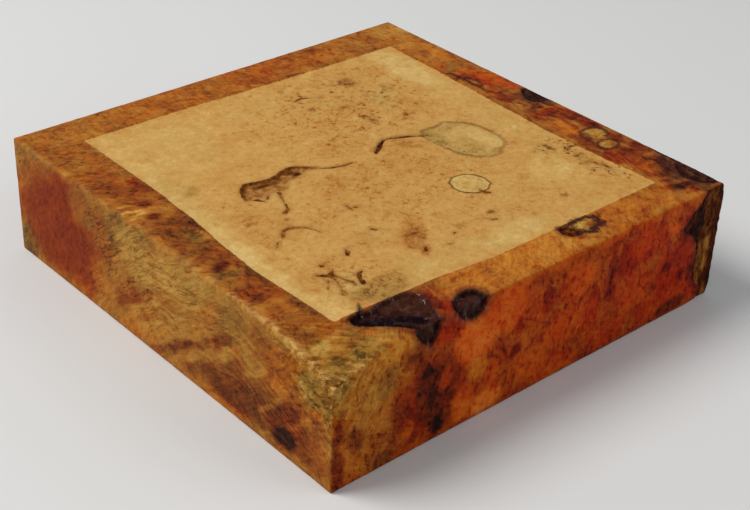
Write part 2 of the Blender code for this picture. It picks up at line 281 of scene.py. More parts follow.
# Colour of the sealed wood, side by side. A base is (tone, hue). Patches are (u, v, half
# width, half height, tone, hue, strength), with the degrees last where one is turned, and
# later ones lie over earlier ones. Tone runs from 0, honey, over rust to 100, charcoal.
# Hue leans from -100, olive, to 100, crimson.
sealed = {
    "west": {"base": (44, -65), "patches": [
        (96, 26, 8, 34, 51, -30, 90), (97, 46, 8, 8, 47, -75, 80), (97, 34, 4, 6, 47, -15, 80),
        (97, 22, 4, 7, 54, -15, 80), (95, 7, 7, 9, 64, -100, 90),
        (84, 50, 22, 3.4, 54, -70, 90, 8), (68, 25, 26, 25, 65, 10, 100, -8),
        (50, 18, 10, 17, 66, 5, 85), (66, 45, 9, 5, 65, 0, 90), (92, 40, 5, 6, 56, -40, 70),
        (52, 42, 8, 9, 56, -40, 90), (38, 36, 9, 12, 54, -40, 90), (47, 38, 3, 4, 58, -80, 70),
        (26, 44, 7, 12, 53, -85, 90), (38, 13, 8, 10, 40, -30, 80, -30), (54, 4, 8, 3, 47, 30, 70),
        (14, 36, 11, 12, 37, -90, 90, -37), (8, 47, 8, 4, 53, -80, 70),
        (-8, 42, 14, 9, 32, -80, 80), (-25, 42, 10, 7, 48, -100, 80, -37),
        (-30, 33, 12, 5, 42, -55, 80, -37), (0, 20, 12, 9, 35, -55, 90, -37),
        (15, 6, 14, 5, 34, -25, 80), (22, 22, 9, 3.5, 56, -30, 70, -37),
        (-45, 42, 8, 9, 55, -85, 80), (-35, 13, 10, 6, 64, -30, 80, -37),
        (-60, 13, 24, 9, 71, -35, 95, -12), (-77, 13, 11, 7, 74, -35, 80, -25),
        (-45, 7, 10, 5, 71, -25, 80), (-62, 38, 10, 7, 53, -55, 80, -37),
        (-72, 26, 10, 6, 62, -50, 70, -37), (-74, 34, 12, 9, 46, -25, 90, -37),
        (-84, 12, 16, 12, 68, -35, 80, -20), (-80, 19, 8, 7, 64, -20, 80, -37),
        (-92, 38, 8, 10, 46, -100, 90), (-94, 16, 6, 13, 52, -30, 80),
        (-90, 27, 5, 3, 59, -25, 60, -37), (-76, 7.5, 6.5, 4.4, 94, -35, 100, -37),
        (-40, 2, 16, 2.4, 45, 10, 60), (-56, 14, 4, 4, 81, -30, 60), (-85, 50, 16, 3, 20, -80, 70),
    ]},
    "south": {"base": (53, 35), "patches": [
        (-86, 40, 20, 13, 33, -35, 100), (-72, 48, 9, 5, 13, 0, 90), (-97, 48, 5, 6, 38, -100, 80),
        (-76, 36, 5, 6, 57, -75, 80), (-82, 22, 14, 10, 44, -40, 90),
        (-90, 10, 12, 8, 41, -30, 80), (-98.5, 14, 2.6, 14, 72, -10, 95),
        (-91, 18, 3.4, 5, 67, -15, 90), (-76, 8, 9, 8, 54, -25, 80), (-78, 3.5, 4, 4, 73, -60, 60),
        (-66, 34, 7, 12, 46, -20, 70), (-57, 40, 10, 8, 56, -20, 80),
        (-57, 21, 15, 18, 67, 35, 100), (-56, 24, 8.5, 12, 80, 0, 90, 12),
        (-59, 29, 3.6, 5, 85, -15, 80), (-53, 12, 8, 8, 81, -5, 90),
        (-53, 5.4, 3.5, 3, 88, -20, 85), (-67, 11, 3, 4, 38, 45, 80),
        (-65, 21, 1.6, 5, 54, 90, 70), (-50, 25, 2.6, 5, 47, 85, 70), (-72, 22, 3, 6, 66, -20, 70),
        (-46, 12, 4, 8, 62, 15, 60), (-50, 45, 7, 4.5, 51, 100, 95),
        (-42, 43, 5, 2.6, 54, 100, 90), (-37, 36, 9, 9, 12, 100, 90),
        (-34, 23, 4.6, 5.6, 32, 12, 85), (-28, 6, 7, 5, 0, 100, 80), (-40, 10, 5, 7, 18, 95, 70),
        (-19, 42, 11, 9, 27, 100, 90), (-26, 16, 4, 7, 37, 90, 80),
        (-14, 22, 2.6, 3.2, 82, 65, 100), (-14, 32, 2.2, 4, 68, 100, 80),
        (-6, 12, 7, 7, 34, 70, 80), (-5, 36, 6, 8, 46, 65, 80), (0.5, 36, 3, 5, 65, 100, 80),
        (16, 38, 9, 7, 34, 100, 80), (10, 38, 3, 3, 57, 90, 70), (14, 22, 14, 8, 42, 100, 80),
        (6, 6, 10, 5, 42, 80, 80), (16, 4, 5, 2.4, 32, 100, 60), (27, 22, 4, 10, 51, 100, 80),
        (35, 40, 2.2, 12, 70, 75, 70), (44, 37, 6, 8, 66, 100, 90), (37, 26, 3, 4, 72, 100, 80),
        (50, 22, 9, 9, 46, 100, 80), (38, 8, 10, 6, 48, 100, 80), (58, 41, 12, 8, 48, 100, 90),
        (58, 36, 2, 2.4, 68, 100, 80), (72, 43, 4, 2.6, 30, 100, 90, -25),
        (74, 20, 12, 14, 59, 100, 90), (70, 25, 3.4, 2.4, 82, 100, 100),
        (79, 18, 2.4, 2.4, 79, 100, 90), (75, 11, 6, 2.4, 43, 100, 80, -25),
        (62, 8, 10, 6, 52, 100, 80), (88, 8, 8, 6, 57, 100, 80), (76, 3.5, 9, 3, 80, 10, 90),
        # The last patch below, a thin lighter strip along the top edge of this side, is a painted
        # highlight.
        (80, 43, 3, 3, 50, 100, 80), (30, 51, 60, 2.2, 30, 90, 70),
    ]},
    "east": {"base": (58, 10), "patches": [
        (-92, 26, 12, 40, 95, -30, 100), (-60, 20, 18, 22, 70, 30, 80),
        (-45, 46, 8, 9, 50, -70, 80), (-20, 30, 18, 20, 56, 10, 80), (0, 44, 10, 14, 95, -20, 90),
        (10, 16, 18, 12, 50, -30, 70), (40, 28, 20, 22, 66, 20, 80), (70, 18, 18, 16, 48, -40, 80),
        (92, 34, 12, 18, 42, -10, 80),
    ]},
    "north": {"base": (50, 0), "patches": [
        (-84, 26, 16, 24, 46, -30, 80), (-48, 30, 24, 18, 60, 20, 80),
        (-20, 12, 18, 12, 42, -50, 70), (10, 32, 20, 18, 66, 20, 80), (34, 12, 12, 10, 80, 10, 80),
        (52, 38, 18, 12, 50, -50, 80), (76, 20, 14, 18, 40, -20, 80),
        (94, 40, 10, 12, 36, -40, 70),
    ]},
    "foot": {"base": (50, 0), "patches": [
        (-50, -40, 40, 30, 60, 10, 80), (40, 30, 40, 40, 42, -40, 80),
        (60, -60, 30, 26, 66, 30, 80), (-60, 60, 30, 30, 50, -20, 80),
    ]},
    "top": {"base": (51, -45), "patches": [
        (-92, 93, 14, 10, 48, -45, 90), (-92, 70, 12, 16, 50, -45, 90),
        (-93, 48, 8, 10, 60, -25, 90), (-90, 36, 8, 11, 62, -30, 90), (-82, 36, 2, 8, 68, -30, 80),
        (-89, 24, 2.8, 2, 73, -30, 90), (-92, 14, 2.6, 2.2, 75, -20, 100),
        (-95, 11, 2, 1.5, 47, -45, 90), (-91, 3, 8, 7, 68, -50, 80), (-84, 5, 3, 8, 69, -35, 80),
        (-93, -4, 6, 6, 73, -40, 80), (-89, -6, 3, 5, 66, -100, 80), (-92, -14, 8, 4, 70, -55, 80),
        (-92, -22, 7, 5, 66, -30, 80), (-94, -29, 4, 2.6, 82, -15, 95, 20),
        (-87, -32, 3.4, 4, 62, -25, 90), (-96, -35, 4, 4, 62, -70, 80),
        (-93, -36, 3, 3, 68, -90, 60), (-98, -37, 3, 8, 63, -75, 60),
        (-88, -41, 4, 5, 70, -40, 90), (-93, -50, 8, 8, 64, -25, 90),
        (-95, -52, 2.4, 3, 75, -25, 90), (-98, -58, 2, 2, 39, -70, 70),
        (-86.3, -46, 1.3, 22, 64, -70, 70), (-92, -66, 8, 6, 54, -45, 80),
        (-90, -74, 8, 5, 55, -40, 80), (-90, -81, 6, 2.4, 66, -30, 80),
        (-84, -86, 3, 4, 54, -45, 80), (-92, -93, 16, 11, 48, -65, 100),
        (-96, -97, 5, 4, 58, -100, 80), (-86, -97, 4, 3, 56, -95, 80),
        (-95, -87, 4, 3, 29, -100, 80), (-80, -98, 9, 4.5, 50, -100, 90),
        (-75, -98, 3, 5, 36, -65, 80), (-72, 92, 18, 12, 47, -50, 90),
        (-32, 92, 32, 12, 50, -30, 90), (10, 92, 15, 12, 49, -20, 80),
        (34, 93, 26, 8, 48, -10, 70), (70, 92, 16, 12, 47, -45, 80), (95, 93, 10, 12, 35, -70, 90),
        (90, 70, 9, 18, 44, -40, 90), (84, 46, 4, 8, 53, -10, 80), (95, 57, 3, 8, 40, -15, 80),
        (90, 40, 8, 7, 52, -40, 90), (92, 31, 5, 3, 68, 50, 90), (86, 33, 3, 2.4, 72, -15, 80),
        (91, 24, 3, 6, 64, 60, 90), (96, 22, 4, 13, 49, 50, 90), (92, 36, 6, 4, 45, 20, 80),
        (89, 14, 5, 5, 61, -15, 80), (86, 7, 3, 5, 78, 5, 90), (88, -1, 2.4, 4, 51, -90, 80),
        (96, -20, 5, 8, 68, 15, 80), (85, -3, 3, 2.6, 42, -95, 90), (92, 4, 3, 4, 77, -40, 90),
        (92, -7, 2.6, 2.2, 82, -15, 80), (97.5, -7, 2.6, 3, 71, -90, 80),
        (86, -8.6, 3, 2.4, 62, -80, 80), (93, -13, 5, 2.6, 71, 50, 80),
        (84, -14, 5, 4, 57, -5, 90), (88, -19, 7, 3.5, 58, -20, 80), (91, -16, 3, 2, 77, 0, 90),
        (96, -24, 3, 5, 76, -15, 90), (98, -15, 2.4, 3, 59, -10, 80), (87, -27, 5, 3, 42, -15, 95),
        (84, -33, 5, 3, 49, -10, 90), (97, -31, 4, 6, 73, -5, 90), (83, -43, 3, 6, 79, -20, 95),
        (85, -51, 3, 4, 73, -10, 90), (80, -48, 1.6, 6, 72, -35, 80), (83, -60, 5, 6, 62, 25, 90),
        (90, -58, 3, 8, 74, -15, 70), (92, -62, 4, 4, 66, -5, 80), (98, -60, 3, 6, 77, -10, 90),
        (88, -70, 6, 6, 61, -5, 80), (84, -76, 3, 7, 57, -5, 70), (95, -71, 3, 3, 65, -25, 70),
        (95, -77, 4, 7, 79, -40, 90), (90, -80, 4, 2.4, 84, -30, 90), (94, -96, 4, 5, 86, -65, 90),
        (85, -85, 4, 3, 69, -35, 80), (86, -80.5, 2.6, 2, 78, -35, 90),
        (90, -85, 3, 4.5, 80, -60, 95), (86, -92, 4, 2, 85, -35, 80, 10),
        (76, -88, 7, 4, 51, -20, 80), (91, -98, 4, 3, 66, -50, 80), (87, -97, 2.4, 2, 82, -5, 90),
        (99.5, -100, 4, 2, 54, -55, 70), (66, -92, 10, 7, 49, -25, 90),
        (80, -98, 7, 4, 45, -30, 80), (-18, -92, 20, 12, 39, -30, 90),
        (6, -92, 18, 12, 36, -30, 90), (48, -93, 12, 9, 47, -20, 90),
        (-45, -90, 4, 6, 52, -15, 80), (-48.5, -92, 3, 7, 79, 15, 90),
        (-46, -99, 5, 4, 69, 100, 90), (-57, -101, 10, 3, 70, -10, 70),
        (96, -47, 3, 6, 76, -10, 80), (86, -30, 3, 6, 39, -15, 80),
    ]},
}

# The same for the bare wood of the scraped square: 0 is cream, 100 is dark brown
bareWood = {"base": (42, 0), "patches": [
    (-83, -20, 6, 56, 20, -30, 90), (-78, -72, 8, 12, 24, -10, 80), (-60, 60, 26, 22, 33, -30, 80),
    (-10, 66, 22, 14, 37, -10, 80), (-78, 20, 6, 40, 30, -40, 60), (-74, 30, 5, 8, 38, -60, 70),
    (26, 44, 30, 26, 46, -15, 80), (48, 62, 14, 12, 50, -10, 70), (10, 26, 26, 12, 50, 0, 70, 45),
    (52, 28, 9, 7, 56, 0, 70, 45), (72, 58, 7, 28, 22, -40, 90), (46, 42, 14, 5, 36, -50, 70, 45),
    (64, 24, 5, 14, 34, -10, 60, 45), (70, 0, 6, 24, 36, -20, 70), (0, -12, 34, 18, 52, 0, 70),
    (20, 4, 8, 5, 58, 10, 60), (-26, -8, 10, 6, 60, 0, 60, 45), (-64, -14, 12, 14, 54, 0, 70),
    (-72, -60, 6, 12, 56, 0, 70, 45), (-58, -50, 9, 5, 52, 10, 60, 45),
    (-22, -52, 12, 5, 66, 10, 85, 45), (-25, -56, 8, 4, 74, 10, 80, 45),
    (-28, -65, 4, 1.8, 82, 10, 90, 45), (-36, -48, 8, 8, 52, -30, 50),
    (54, -50, 12, 10, 26, -10, 80), (30, -60, 20, 12, 42, -10, 60), (10, -76, 18, 6, 26, -40, 80),
    (-20, -74, 18, 7, 38, -30, 70), (-40, -73, 8, 8, 36, -50, 60), (-66, -66, 8, 10, 34, -50, 60),
    (-57, -74, 11, 6, 66, -55, 95), (-66, -74, 5, 4, 66, -60, 80),
    (-70, 22, 4.5, 3, 66, -80, 80, 45), (41, 63, 4.4, 3, 80, -35, 90, 30),
    (42, 58.6, 3, 2.4, 70, -30, 80), (12, 49.5, 2.4, 1.4, 80, -20, 90),
    (25, 30.8, 1.6, 1.8, 84, -40, 90), (26.4, 26, 1.4, 2, 80, -40, 80, 45),
    (41, 22.4, 1.5, 1.5, 82, -30, 80), (38.6, 19.6, 1.6, 1.2, 76, -30, 80, 45),
    (33, 41, 1.8, 2, 66, -20, 70), (46, 39, 1.4, 1.8, 66, -30, 70),
    (-67.4, -12, 2, 1.2, 74, 0, 90), (-64, -8, 1, 3, 64, 0, 70, -45),
    (8, 22, 1.6, 1.2, 70, 0, 70, 45), (1.6, 22.4, 1.8, 1.2, 74, -20, 80),
    (-3.4, 20.6, 1, 1, 74, 0, 80), (36, 22, 2.4, 1.2, 62, -20, 70, 45),
    (11, -60, 1.6, 1.8, 78, -40, 90, 45), (-16.6, -67.4, 1.5, 1, 76, -30, 80, 45),
    (-23.6, -71.4, 1, 1.2, 70, -30, 80), (-8, -48.6, 1.4, 1.8, 66, -20, 80),
    (-3, -60, 6, 1.2, 62, -30, 70), (15, -67, 3, 1.2, 60, -30, 70, 45),
    (22.6, -71, 1, 1.6, 66, -20, 70), (-21, -36, 2, 1.4, 64, 0, 70, 45),
    (-12, -12, 8, 1.6, 66, 0, 60, 45), (43, -68, 1.8, 1.6, 82, 0, 90),
    (66, -36, 5, 7, 44, -70, 50), (71, -56, 4, 8, 48, -50, 60), (72, -70, 4, 4, 46, -30, 60, 45),
    (74, -80, 6, 3, 50, 0, 70), (40, -79, 10, 5, 40, 0, 60),
]}

# How clearly the growth and saw lines show on the west side. From here on the tone of a
# patch is a share, and its hue isn't used.
lined = {"base": (75, 0), "patches": [
    (70, 26, 26, 26, 25, 0, 100), (16, 34, 24, 18, 120, 0, 100), (-20, 36, 24, 14, 110, 0, 90),
    (-84, 24, 14, 24, 100, 0, 80), (4, 6, 24, 6, 60, 0, 80),
]}

# How much the sealed colour is broken up on the west side
grit = {"base": (90, 0), "patches": [
    (68, 25, 28, 28, 35, 0, 100, -8), (50, 18, 10, 18, 40, 0, 90),
]}

# Where small crumbs have broken out of the bare wood
crumbled = {"base": (0, 0), "patches": [
    (73, -40, 5.5, 8, 100, 0, 100), (67, -36, 4, 3, 90, 0, 90), (74, -63, 5, 9, 100, 0, 100),
    (-64, -60, 7, 7, 50, 0, 80), (12, -61, 14, 3, 60, 0, 80), (24, 28, 12, 3, 60, 0, 70, 45),
    (12, 52, 3, 12, 50, 0, 70),
]}

# Where the bare wood is thick with small eyes
busy = {"base": (50, 0), "patches": [
    (-60, 48, 30, 34, 15, 0, 90), (28, 44, 34, 30, 100, 0, 90), (0, -20, 40, 24, 80, 0, 80),
    (72, 40, 9, 44, 20, 0, 90), (-84, -30, 6, 60, 5, 0, 90), (0, -76, 60, 8, 20, 0, 80),
    (-60, -62, 16, 14, 90, 0, 70), (70, -52, 9, 22, 90, 0, 70),
]}

# Streaks in the bark: pocket, points, half width, tone, strength
barkStreaks = [
    ("barkInclusion", [(92.6, 28), (92.8, 22), (91.6, 15)], 1.5, 70, 80),
    ("barkInclusion", [(95.6, 28), (97, 22), (95.6, 15)], 1.6, 74, 85),
    ("barkInclusion", [(94, 11), (91, 7)], 1.6, 60, 70),
    ("barkInclusion", [(99.4, 50), (100.4, 4)], 1.6, 20, 80),
    ("barkInclusion", [(81, 37.6), (86, 37.6), (88.6, 43), (89, 34)], 3, 2, 90),
    ("longBark", [(-50, 8), (-44, 6), (-40, 4)], 2.2, 80, 60),
    ("longBark", [(-30, 12), (-28, 9.6)], 1.6, 25, 80),
    ("longBark", [(-48, 10.4), (-42, 9.6), (-37, 10)], 1.2, 46, 80),
    ("westKnot", [(-64, -84), (-57, -87)], 2.4, 66, 60),
    ("westKnot", [(-79, -84), (-72, -88), (-64, -92), (-58, -97)], 1.8, 6, 85),
    ("westKnot", [(-76, -88.4), (-70, -93)], 0.7, 60, 60),
    ("edgeKnot", [(-40, -98.4), (-38, -101)], 2.2, 55, 70),
    ("sideDrip", [(-60, 50), (-58, 46)], 1.6, 50, 70),
    ("cornerGroove", [(99, -68), (98.6, -76)], 1, 70, 80),
    ("cornerGroove", [(98.6, -82), (97.4, -88)], 0.8, 66, 60),
    ("eastKnot", [(98.6, 4), (99.6, 8)], 1.2, 50, 70),
]

# Bands drawn through points: side, points, half width, tone, hue, strength
bands = {
    "growthBand": ("west", [
        (5, 1), (-10, 10), (-20, 17), (-30, 23), (-38, 29), (-43, 33),
    ], 2, 72, -30, 85),
    "innerBand": ("west", [(-22, 6), (-33, 13), (-44, 20), (-50, 24)], 3, 66, -35, 80),
    "goldBand": ("west", [(-8, 3), (-25, 13.5), (-40, 23), (-47, 31)], 1.5, 34, -60, 75),
    "archOlive": ("west", [(-53, 37), (-56, 25), (-57, 12)], 1.6, 46, -80, 45),
    "archOrange": ("west", [(-45, 30), (-50, 28), (-53, 21)], 1.3, 43, -25, 85),
    "redStreak": ("west", [(27, 12), (18, 18), (7, 26)], 2.1, 60, -25, 90),
    "farStreak": ("west", [(-58, 20), (-66, 27), (-72, 33)], 1.6, 66, -30, 70),
    "nearStreak": ("west", [(-64, 6), (-74, 15), (-84, 24)], 1.8, 72, -20, 70),
    "goldStreak": ("west", [(-62, 12), (-70, 20), (-80, 30)], 1.1, 36, -50, 60),
    "brightStreak": ("west", [(-78, 14), (-88, 24), (-95, 33)], 1.3, 40, -30, 60),
    "upperStreak": ("west", [(-4, 26), (-16, 35), (-26, 44)], 1.2, 50, -50, 60),
    "midStreak": ("west", [(24, 4), (10, 14), (-4, 26)], 1.2, 48, -30, 60),
    "footRim": ("west", [(88, 1.5), (-92, 1.5)], 1.6, 42, -30, 50),
    "maroonStreak": ("top", [(-83.5, 43), (-86.5, 33)], 1.5, 68, -10, 85),
    "goldStripe": ("top", [(-100.5, 23), (-92, 20.6)], 0.9, 16, -70, 100),
    "goldStripeLow": ("top", [(-100.5, 16.6), (-92, 18.6)], 0.8, 20, -65, 100),
    "goldEdge": ("top", [(-100, 27.5), (-94, 26)], 0.7, 26, -60, 90),
    "oliveStreak": ("top", [(87, 42), (94, 50)], 1.2, 52, -100, 80),
    "rightRim": ("top", [(81.5, 30), (80.6, 12), (79, -4), (78.4, -30)], 1.1, 58, -55, 70),
    "panelRim": ("top", [(-81, 30), (-83, 2), (-86, -40), (-85, -78)], 0.9, 71, -55, 60),
    "knotLip": ("top", [(-80, -91), (-70, -97), (-67, -101)], 1, 50, -30, 50),
    "southCheck": ("south", [(34.6, 52), (35.6, 41), (35, 36), (37, 24)], 0.6, 82, 50, 50),
    "barkShade": ("south", [(77, 38), (84, 32), (86.6, 24), (86, 14), (92, 5)], 2.6, 76, 90, 75),
    "edgeVein": ("top", [(84, 40), (86, 30), (84.5, 18), (88, 12)], 0.7, 84, 0, 80),
    "darkVein": ("top", [(88, 0), (86, -12), (91, -22), (89, -32)], 0.7, 82, 0, 80),
    "farVein": ("top", [(98, 10), (96, -4), (99, -20), (97, -34)], 0.8, 86, 0, 80),
    "lowVein": ("top", [(95, -56), (91, -64), (94, -74), (88, -84)], 0.8, 84, 0, 80),
    "cornerDash": ("top", [(81, -89.6), (85, -92.6), (89, -93)], 1.6, 88, 10, 90),
    "panelVein": ("top", [(82, -54), (85, -66), (83, -78)], 0.6, 78, 0, 70),
}

# How each side shows its figure: shares of burl eyes and growth streaks, how much its colour
# is broken up, the way the streaks run and the way the saw marks run
figure = {
    "west": {"shares": (10, 100, 100), "grain": (-0.8, 0.6), "sawn": (-0.79, -0.61)},
    "south": {"shares": (100, 40, 85), "grain": (0.9, -0.42), "sawn": (0.3, 0.95)},
    "east": {"shares": (70, 50, 90), "grain": (0.9, 0.3), "sawn": (0.3, -0.95)},
    "north": {"shares": (50, 70, 90), "grain": (0.9, -0.4), "sawn": (0.4, 0.9)},
    "foot": {"shares": (50, 50, 90), "grain": (1.0, 0.0), "sawn": (0.0, 1.0)},
    "top": {"shares": (50, 60, 90), "grain": (0.72, 0.69), "sawn": (0.2, 1.0)},
}

# The borders of the top have their own grain: (x, y) limits, direction and a fixed point
borderGrain = [
    ((-102, -82, -102, 82), (0.67, -0.74), (-92, -90)),
    ((79, 102, -102, 80), (0.25, 0.97), (90, -90)),
    ((-102, 102, 81, 102), (0.1, 0.99), (-92, 92)),
]


def smooth(share):
    share = np.clip(share, 0, 1)
    return share * share * (3 - 2 * share)


def fade(distance, reach):      # 1 at distance 0, 0 at reach
    return smooth(1 - np.abs(distance) / reach)


def onFace(points, face):       # coordinates on a side of the block, and the depth under it
    x, y, z = points.T
    half, height = blank["side"] / 2, blank["height"]
    return {
        "top": (x, y, height - z), "foot": (x, y, z), "south": (x, z, y + half),
        "north": (x, z, half - y), "west": (y, z, x + half), "east": (y, z, half - x),
    }[face]


def fromSegment(u, v, start, end):      # distance to a piece of line, and the share along it
    startU, startV = start
    du, dv = end[0] - startU, end[1] - startV
    along = np.clip(((u - startU) * du + (v - startV) * dv) / (du * du + dv * dv), 0, 1)
    return np.hypot(u - startU - along * du, v - startV - along * dv), along


def lineDistance(u, v, line):
    return np.min([fromSegment(u, v, *ends)[0] for ends in zip(line, line[1:])], axis=0)


def insideBy(u, v, outline, far=8.0):       # signed distance to an outline, limited to far
    corners = np.array(outline, dtype=float)
    low, high = corners.min(axis=0) - far, corners.max(axis=0) + far
    result = np.full(u.shape, -far)
    close = (u > low[0]) & (u < high[0]) & (v > low[1]) & (v < high[1])
    u, v = u[close], v[close]
    nearest = np.full(u.shape, far)
    within = np.zeros(u.shape, dtype=bool)
    for start, end in zip(corners, np.roll(corners, -1, axis=0)):
        nearest = np.minimum(nearest, fromSegment(u, v, start, end)[0])
        (startU, startV), (endU, endV) = start, end
        if startV != endV:
            crossing = startU + (v - startV) * (endU - startU) / (endV - startV)
            within ^= ((startV > v) != (endV > v)) & (u < crossing)
    result[close] = np.where(within, nearest, -nearest)
    return result


def pocketDistance(points, pocket):
    u, v, under = onFace(points, pocket["face"])
    return np.minimum(insideBy(u, v, pocket["outline"]), 1.0 - under)


def trackDistance(points, line):        # signed distance to a track that changes its width
    u, v, under = onFace(points, "top")
    result = np.full(u.shape, -8.0)
    for start, end in zip(line, line[1:]):
        away, along = fromSegment(u, v, start[:2], end[:2])
        result = np.maximum(result, start[2] + along * (end[2] - start[2]) - away)
    return np.minimum(result, 1.0 - under)


def ringDistance(points, ring):
    u, v, under = onFace(points, "top")
    return np.where(under < 1, insideBy(u, v, ring["outline"]), -8.0)


def bareDistance(points):
    u, v, under = onFace(points, "top")
    return np.minimum(insideBy(u, v, bareSquare["outline"]), 1.5 - under)


def arrisDistance(points):      # how far each point lies from the nearest edge of the true box
    under = np.stack([onFace(points, face)[2] for face in sealed], axis=1)
    return np.sort(under, axis=1)[:, 1]


def cornerDistance(points, corner):     # how far from the torn or the waney corner
    half = blank["side"] / 2
    offset = {"torn": half, "waney": -half}[corner]
    return np.hypot(points[:, 0] + offset, points[:, 1] + half)


def noiseOf(points, size, octaves=3, seed=0.0):     # about -1 to 1
    shift = Vector((seed, seed * 1.7, -seed))
    return np.array([noise.fractal(Vector(p) / size + shift, 0.9, 2.0, octaves) for p in points])


def warped(points):         # where the points of the true box go on the sawn block
    x, y, z = points.T
    half, bow = blank["side"] / 2, blank["bow"]
    inwardX = np.where(x > 0, bow["east"], bow["west"]) * (1 - (y / half) ** 2)
    inwardY = np.where(y > 0, bow["north"], bow["south"]) * (1 - (x / half) ** 2)
    wane = fade(cornerDistance(points, "waney"), blank["waneReach"]) * (
        blank["waneIn"] * fade(blank["height"] - z, blank["waneDown"])
        + blank["footIn"] * fade(z, blank["footUp"]))
    torn = np.maximum(0, 1 - cornerDistance(points, "torn") / blank["droopReach"])
    length, reach = blank["wearLength"], blank["wearReach"]
    beside = np.maximum(fade(y + half, length) * fade(x + half, reach),
                        fade(x + half, length) * fade(y + half, reach))
    drop = blank["droop"] * torn ** blank["droopPower"] + blank["wear"] * beside
    return np.stack([
        x - x / half * inwardX - wane,
        y - y / half * inwardY + wane * 0.5,
        z - drop * (z / blank["height"]) ** 2,
    ], axis=1)


def coordinates(mesh):
    mesh.verts.index_update()
    return np.array([vert.co for vert in mesh.verts])


def refine(mesh, near, cuts):       # cut the cells whose corners are all near
    edges = [
        edge for edge in mesh.edges
        if all(near[vert.index] for vert in edge.verts)
        and edge.calc_length() > blank["fineCell"]
    ]
    bmesh.ops.subdivide_edges(mesh, edges=edges, cuts=cuts, use_grid_fill=True)


def footFaces(mesh):
    return [face for face in mesh.faces if all(vert.co.z < 1e-4 for vert in face.verts)]


def coarseFoot(mesh):       # the underside in large cells
    bmesh.ops.dissolve_faces(mesh, faces=footFaces(mesh), use_verts=True)
    count = round(blank["side"] / blank["footCell"])
    for step in range(1, count):
        cut = blank["side"] * (step / count - 0.5)
        for point, normal in (((cut, 0, 0), (1, 0, 0)), ((0, cut, 0), (0, 1, 0))):
            foot = footFaces(mesh)
            edges = list({edge for face in foot for edge in face.edges})
            verts = list({vert for face in foot for vert in face.verts})
            bmesh.ops.bisect_plane(mesh, geom=foot + edges + verts, dist=0.3,
                                   plane_co=point, plane_no=normal)


def sawnBlock():
    side, height = blank["side"], blank["height"]
    mesh = bmesh.new()
    bmesh.ops.create_cube(mesh, size=1)
    bmesh.ops.scale(mesh, vec=(side, side, height), verts=mesh.verts)
    bmesh.ops.translate(mesh, vec=(0, 0, height / 2), verts=mesh.verts)
    bmesh.ops.bevel(mesh, geom=mesh.edges[:], offset=blank["arris"], offset_type="OFFSET",
                    segments=blank["arrisSteps"], profile=0.5, affect="EDGES", material=-1)
    for axis, length in enumerate((side, side, height)):
        along = [
            edge for edge in mesh.edges
            if abs((edge.verts[0].co - edge.verts[1].co)[axis]) > length / 2
        ]
        bmesh.ops.subdivide_edges(mesh, edges=along, cuts=round(length / blank["cell"]) - 1,
                                  use_grid_fill=True)
    coarseFoot(mesh)

    # Finer cells where something is carved
    points = coordinates(mesh)
    near = np.zeros(len(points), dtype=bool)
    for pocket in pockets.values():
        near |= pocketDistance(points, pocket) > -1.6
    for _, _, line in tracks.values():
        near |= trackDistance(points, line) > -1.5
    for ring in rings.values():
        near |= np.abs(ringDistance(points, ring)) < 2.2
    refine(mesh, near, 2)
    points = coordinates(mesh)
    torn = (cornerDistance(points, "torn") < 36) & (points[:, 2] > 34)
    waney = (cornerDistance(points, "waney") < 18) & (points[:, 2] > 1)
    refine(mesh, torn | waney, 1)
    bmesh.ops.triangulate(mesh, faces=mesh.faces[:])
    return mesh


def paintedOver(points, table, face, wobble):       # tone and hue from a table of patches
    u, v, _ = onFace(points, face)
    wobbleU, wobbleV, _ = onFace(wobble, face)
    tone, hue = (np.full(u.shape, value / 100) for value in table["base"])
    for middleU, middleV, wide, high, patchTone, patchHue, strength, *turn in table["patches"]:
        sway = min(1, (wide + high) / 26)       # a small patch stays nearer to its place
        offU, offV = u + wobbleU * sway - middleU, v + wobbleV * sway - middleV
        angle = math.radians(turn[0] if turn else 0)
        c, s = math.cos(angle), math.sin(angle)
        away = np.hypot((offU * c + offV * s) / wide, (offV * c - offU * s) / high)
        share = strength / 100 * smooth((1.35 - away) / 0.7)
        tone += (patchTone / 100 - tone) * share
        hue += (patchHue / 100 - hue) * share
    return tone, hue


def grainOf(points, face):      # places along and across the grain of a side
    u, v, _ = onFace(points, face)
    grainU, grainV = figure[face]["grain"]
    along, across = u * grainU + v * grainV, v * grainU - u * grainV
    if face == "top":
        for (lowX, highX, lowY, highY), (turnU, turnV), (fixedX, fixedY) in borderGrain:
            there = (u > lowX) & (u < highX) & (v > lowY) & (v < highY)
            offX, offY = u - fixedX, v - fixedY
            along = np.where(there, offX * turnU + offY * turnV
                             + fixedX * grainU + fixedY * grainV, along)
            across = np.where(there, offY * turnU - offX * turnV
                              + fixedY * grainU - fixedX * grainV, across)
    return along, across


